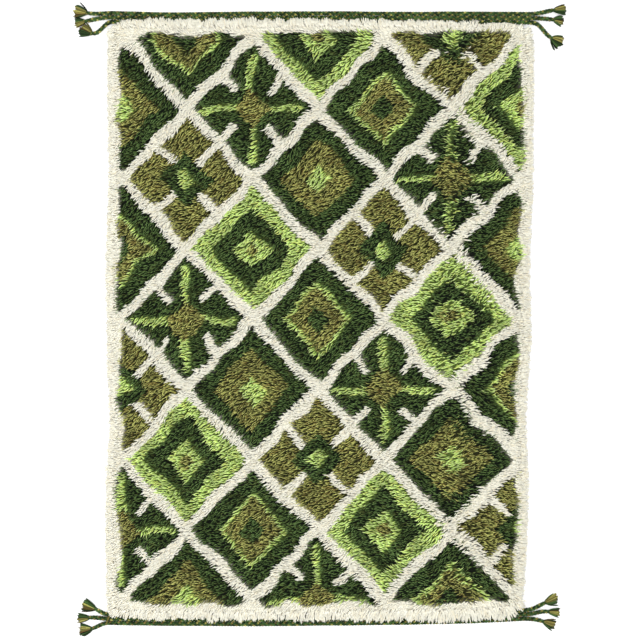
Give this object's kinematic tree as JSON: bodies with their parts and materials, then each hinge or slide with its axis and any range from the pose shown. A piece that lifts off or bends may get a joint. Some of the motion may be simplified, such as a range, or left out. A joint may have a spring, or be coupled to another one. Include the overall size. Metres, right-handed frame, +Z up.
{
  "type": "moroccan pile rug",
  "caption": "Rectangular wool shag rug with a lozenge pattern, bordered at both ends by flat plaits that run past the corners into tassels. It lies flat on a floor.",
  "frame": {"origin": "middle of the rug's flat underside, on the floor", "axes": "+Z up out of the pile, +Y along the rug's length to its head end, +X across its width"},
  "size_m": [1.6152, 2.073, 0.0302],
  "materials": {
    "cream_wool": "matt cream wool pile",
    "dark_green_wool": "matt dark green wool pile",
    "olive_wool": "matt olive wool pile",
    "light_green_wool": "matt light green wool pile",
    "plait_wool": "matt plaited wool, dark green with olive strands",
    "tassel_wool": "matt loose wool, dark green with olive strands"
  },
  "bodies": {
    "root": {"pile_rug": "cream_wool", "plait_head_outer": "plait_wool", "plait_head_middle": "plait_wool", "plait_head_inner": "plait_wool", "plait_foot_outer": "plait_wool", "plait_foot_middle": "plait_wool", "plait_foot_inner": "plait_wool", "tassel_head_left_outer": "tassel_wool", "tassel_head_left_middle": "tassel_wool", "tassel_head_left_inner": "tassel_wool", "tassel_head_right_outer": "tassel_wool", "tassel_head_right_middle": "tassel_wool", "tassel_head_right_inner": "tassel_wool", "tassel_foot_left_inner": "tassel_wool", "tassel_foot_left_middle": "tassel_wool", "tassel_foot_left_outer": "tassel_wool", "tassel_foot_right_inner": "tassel_wool", "tassel_foot_right_middle": "tassel_wool", "tassel_foot_right_outer": "tassel_wool"}
  },
  "joints": []
}
